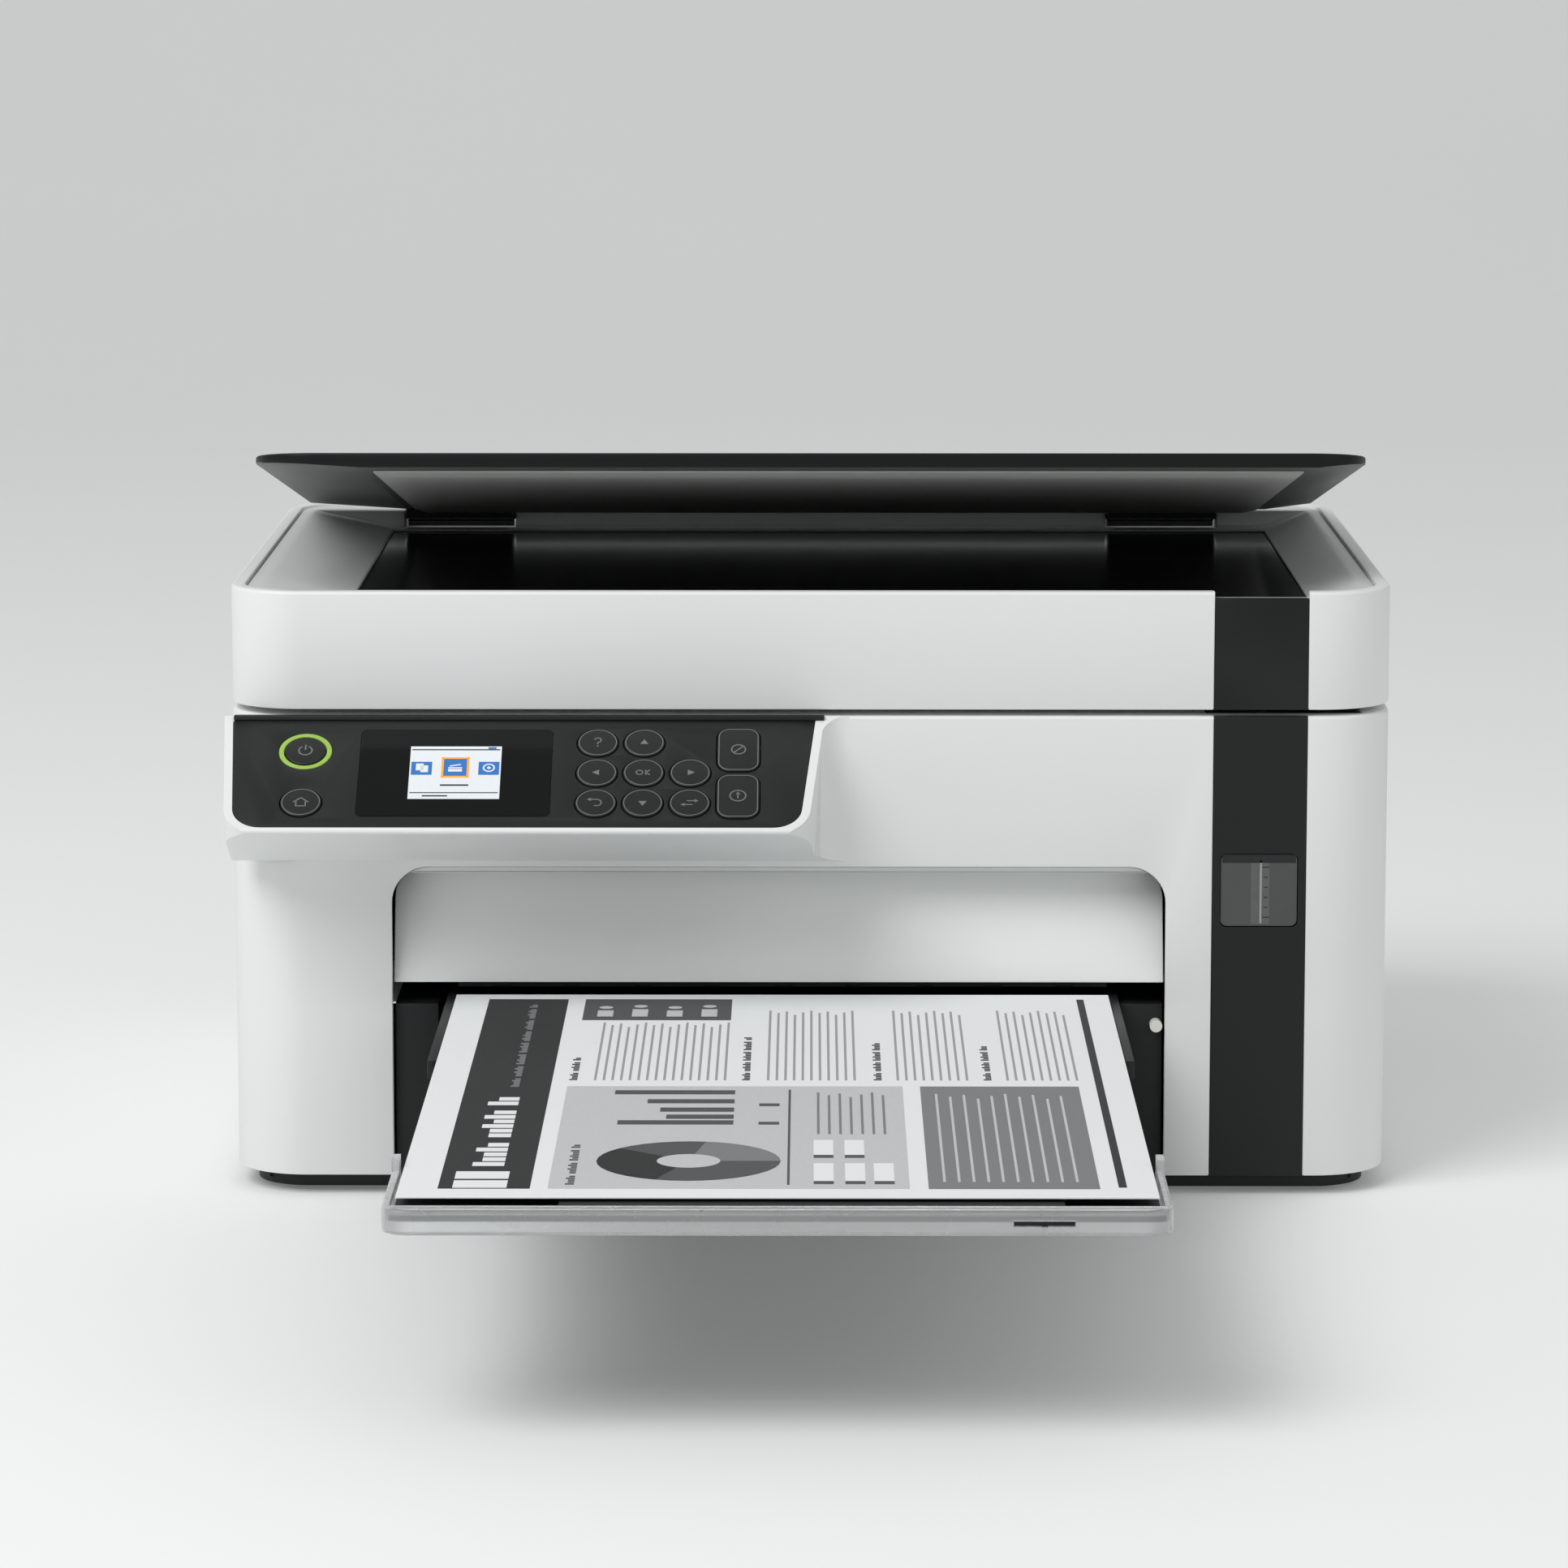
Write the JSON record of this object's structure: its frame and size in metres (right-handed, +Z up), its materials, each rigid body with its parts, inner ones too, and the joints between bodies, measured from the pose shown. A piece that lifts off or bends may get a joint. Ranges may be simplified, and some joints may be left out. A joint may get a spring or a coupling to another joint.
{
  "type": "inkjet printer",
  "caption": "All-in-one inkjet printer with a flatbed scanner under a hinged lid, a sloped key panel, an ink tank window, a paper cassette and a sliding output tray.",
  "frame": {"origin": "centre of the housing's footprint at desk level, in the plane of the rubber feet's undersides", "axes": "+X to the right as seen from the front, the front faces -Y, +Z up"},
  "size_m": [0.3755, 0.613, 0.2402],
  "materials": {
    "white_shell": "fine moulded grain",
    "dark_base": "moulded grain",
    "foot_rubber": "matt",
    "screw_steel": "zinc plated",
    "dark_guide": "moulded grain",
    "dark_column": "fine moulded grain",
    "smoke_lens": "smoked clear",
    "tank_plastic": "translucent with black ink behind",
    "cap_rubber": "matt",
    "panel_face": "fine moulded grain",
    "display_glass": "smooth cover window",
    "light_ring": "lit translucent",
    "circuit_board": "solder mask",
    "frame_steel": "zinc coated sheet",
    "ground_steel": "ground",
    "belt_rubber": "toothed belt",
    "gear_plastic": "acetal",
    "motor_steel": "plated can",
    "head_plastic": "print head",
    "roller_rubber": "ground rubber on a steel shaft",
    "socket_plastic": "smooth",
    "tray_plastic": "moulded grain",
    "clear_plastic": "clear moulded plastic",
    "paper": "printed paper",
    "bezel_grey": "fine moulded grain",
    "platen_glass": "clear glass over a dark bay",
    "lid_plastic": "fine moulded grain",
    "lid_pad": "white foam-backed sheet",
    "key_plastic": "smooth keycap"
  },
  "bodies": {
    "printer_base": {"base_tray": "dark_base", "rubber_feet": "foot_rubber", "housing_screws": "screw_steel", "main_housing": "white_shell", "front_recess_panel": "white_shell", "tray_side_guides": "dark_guide", "ink_window_panel": "dark_column", "ink_window_lens": "smoke_lens", "ink_tank": "tank_plastic", "control_panel_housing": "white_shell", "control_panel_face": "panel_face", "lcd_window": "display_glass", "power_light_ring": "light_ring", "panel_circuit_board": "circuit_board", "main_frame": "frame_steel", "guide_rod": "ground_steel", "carriage_belt": "belt_rubber", "carriage_motor": "motor_steel", "feed_motor": "motor_steel", "pinch_rollers": "gear_plastic", "star_wheels": "gear_plastic", "platen": "dark_guide", "capping_station": "dark_guide", "power_supply": "dark_base", "ac_inlet": "socket_plastic", "main_board": "circuit_board"},
    "key_power": {"key_power": "key_plastic"},
    "key_home": {"key_home": "key_plastic"},
    "key_help": {"key_help": "key_plastic"},
    "key_up": {"key_up": "key_plastic"},
    "key_left": {"key_left": "key_plastic"},
    "key_ok": {"key_ok": "key_plastic"},
    "key_right": {"key_right": "key_plastic"},
    "key_back": {"key_back": "key_plastic"},
    "key_down": {"key_down": "key_plastic"},
    "key_paper": {"key_paper": "key_plastic"},
    "key_stop": {"key_stop": "key_plastic"},
    "key_start": {"key_start": "key_plastic"},
    "ink_tank_cap": {"ink_tank_cap": "cap_rubber"},
    "print_carriage": {"carriage_body": "dark_guide", "print_head": "head_plastic"},
    "drive_pulley": {"drive_pulley": "gear_plastic"},
    "feed_roller": {"feed_roller": "roller_rubber"},
    "exit_roller": {"exit_roller": "roller_rubber"},
    "idler_gear": {"idler_gear": "gear_plastic"},
    "motor_pinion": {"motor_pinion": "gear_plastic"},
    "paper_cassette": {"paper_cassette": "dark_guide"},
    "output_tray": {"output_tray": "tray_plastic"},
    "tray_extension": {"tray_extension": "tray_plastic", "tray_clear_front": "clear_plastic"},
    "printed_sheet": {"printed_sheet": "paper"},
    "rear_cover": {"rear_cover": "white_shell"},
    "scanner_unit": {"scanner_base": "white_shell", "scanner_column_trim": "dark_column", "scanner_bezel": "bezel_grey", "scanner_glass": "platen_glass", "scan_rod": "ground_steel"},
    "scan_bar": {"scan_bar": "dark_guide"},
    "scanner_lid": {"lid_cover": "lid_plastic", "lid_pad": "lid_pad"}
  },
  "joints": [
    {"name": "power_key_press", "type": "slide", "parent": "printer_base", "child": "key_power", "axis": [0, 0.5446, -0.8387], "range_m": [0, 0.001], "stiffness_N_per_m": 300, "springref_m": -0.001},
    {"name": "home_key_press", "type": "slide", "parent": "printer_base", "child": "key_home", "axis": [0, 0.5446, -0.8387], "range_m": [0, 0.001], "stiffness_N_per_m": 300, "springref_m": -0.001},
    {"name": "help_key_press", "type": "slide", "parent": "printer_base", "child": "key_help", "axis": [0, 0.5446, -0.8387], "range_m": [0, 0.001], "stiffness_N_per_m": 300, "springref_m": -0.001},
    {"name": "up_key_press", "type": "slide", "parent": "printer_base", "child": "key_up", "axis": [0, 0.5446, -0.8387], "range_m": [0, 0.001], "stiffness_N_per_m": 300, "springref_m": -0.001},
    {"name": "left_key_press", "type": "slide", "parent": "printer_base", "child": "key_left", "axis": [0, 0.5446, -0.8387], "range_m": [0, 0.001], "stiffness_N_per_m": 300, "springref_m": -0.001},
    {"name": "ok_key_press", "type": "slide", "parent": "printer_base", "child": "key_ok", "axis": [0, 0.5446, -0.8387], "range_m": [0, 0.001], "stiffness_N_per_m": 300, "springref_m": -0.001},
    {"name": "right_key_press", "type": "slide", "parent": "printer_base", "child": "key_right", "axis": [0, 0.5446, -0.8387], "range_m": [0, 0.001], "stiffness_N_per_m": 300, "springref_m": -0.001},
    {"name": "back_key_press", "type": "slide", "parent": "printer_base", "child": "key_back", "axis": [0, 0.5446, -0.8387], "range_m": [0, 0.001], "stiffness_N_per_m": 300, "springref_m": -0.001},
    {"name": "down_key_press", "type": "slide", "parent": "printer_base", "child": "key_down", "axis": [0, 0.5446, -0.8387], "range_m": [0, 0.001], "stiffness_N_per_m": 300, "springref_m": -0.001},
    {"name": "paper_key_press", "type": "slide", "parent": "printer_base", "child": "key_paper", "axis": [0, 0.5446, -0.8387], "range_m": [0, 0.001], "stiffness_N_per_m": 300, "springref_m": -0.001},
    {"name": "stop_key_press", "type": "slide", "parent": "printer_base", "child": "key_stop", "axis": [0, 0.5446, -0.8387], "range_m": [0, 0.001], "stiffness_N_per_m": 300, "springref_m": -0.001},
    {"name": "start_key_press", "type": "slide", "parent": "printer_base", "child": "key_start", "axis": [0, 0.5446, -0.8387], "range_m": [0, 0.001], "stiffness_N_per_m": 300, "springref_m": -0.001},
    {"name": "ink_cap_hinge", "type": "hinge", "parent": "printer_base", "child": "ink_tank_cap", "pos_m": [0.14455, -0.1195, 0.137], "axis": [-1, 0, 0], "range_deg": [0, 100]},
    {"name": "print_carriage_slide", "type": "slide", "parent": "printer_base", "child": "print_carriage", "axis": [-1, 0, 0], "range_m": [0, 0.215]},
    {"name": "drive_pulley_turn", "type": "hinge", "parent": "printer_base", "child": "drive_pulley", "pos_m": [0.1575, -0.0165, 0.128], "axis": [0, 1, 0], "range_deg": [0, 1900]},
    {"name": "feed_roller_turn", "type": "hinge", "parent": "printer_base", "child": "feed_roller", "pos_m": [0, -0.028, 0.076], "axis": [1, 0, 0], "continuous": true},
    {"name": "exit_roller_turn", "type": "hinge", "parent": "printer_base", "child": "exit_roller", "pos_m": [0, -0.118, 0.076], "axis": [1, 0, 0], "continuous": true},
    {"name": "idler_gear_turn", "type": "hinge", "parent": "printer_base", "child": "idler_gear", "pos_m": [-0.1775, -0.073, 0.076], "axis": [1, 0, 0], "continuous": true},
    {"name": "motor_pinion_turn", "type": "hinge", "parent": "printer_base", "child": "motor_pinion", "pos_m": [-0.1775, -0.073, 0.108], "axis": [1, 0, 0], "continuous": true},
    {"name": "paper_cassette_slide", "type": "slide", "parent": "printer_base", "child": "paper_cassette", "axis": [0, -1, 0], "range_m": [0, 0.2]},
    {"name": "output_tray_slide", "type": "slide", "parent": "printer_base", "child": "output_tray", "axis": [0, 1, 0], "range_m": [0, 0.172]},
    {"name": "tray_extension_slide", "type": "slide", "parent": "output_tray", "child": "tray_extension", "axis": [0, 1, 0], "range_m": [0, 0.14]},
    {"name": "printed_sheet_slide", "type": "slide", "parent": "printer_base", "child": "printed_sheet", "axis": [0, -1, 0], "range_m": [0, 0.15]},
    {"name": "rear_cover_slide", "type": "slide", "parent": "printer_base", "child": "rear_cover", "axis": [0, 1, 0], "range_m": [0, 0.04]},
    {"name": "scanner_unit_hinge", "type": "hinge", "parent": "printer_base", "child": "scanner_unit", "pos_m": [0, 0.128, 0.1661], "axis": [-1, 0, 0], "range_deg": [0, 30]},
    {"name": "scan_bar_slide", "type": "slide", "parent": "scanner_unit", "child": "scan_bar", "axis": [1, 0, 0], "range_m": [0, 0.3]},
    {"name": "scanner_lid_hinge", "type": "hinge", "parent": "scanner_unit", "child": "scanner_lid", "pos_m": [0, 0.104, 0.194], "axis": [-1, 0, 0], "range_deg": [-9.5, 60]}
  ],
  "couplings": [
    {"joint": "drive_pulley_turn", "follows": "print_carriage_slide", "rad_per_m": 153.85},
    {"joint": "exit_roller_turn", "follows": "feed_roller_turn", "ratio": 1},
    {"joint": "idler_gear_turn", "follows": "feed_roller_turn", "ratio": -0.8},
    {"joint": "motor_pinion_turn", "follows": "feed_roller_turn", "ratio": 2.8571}
  ]
}
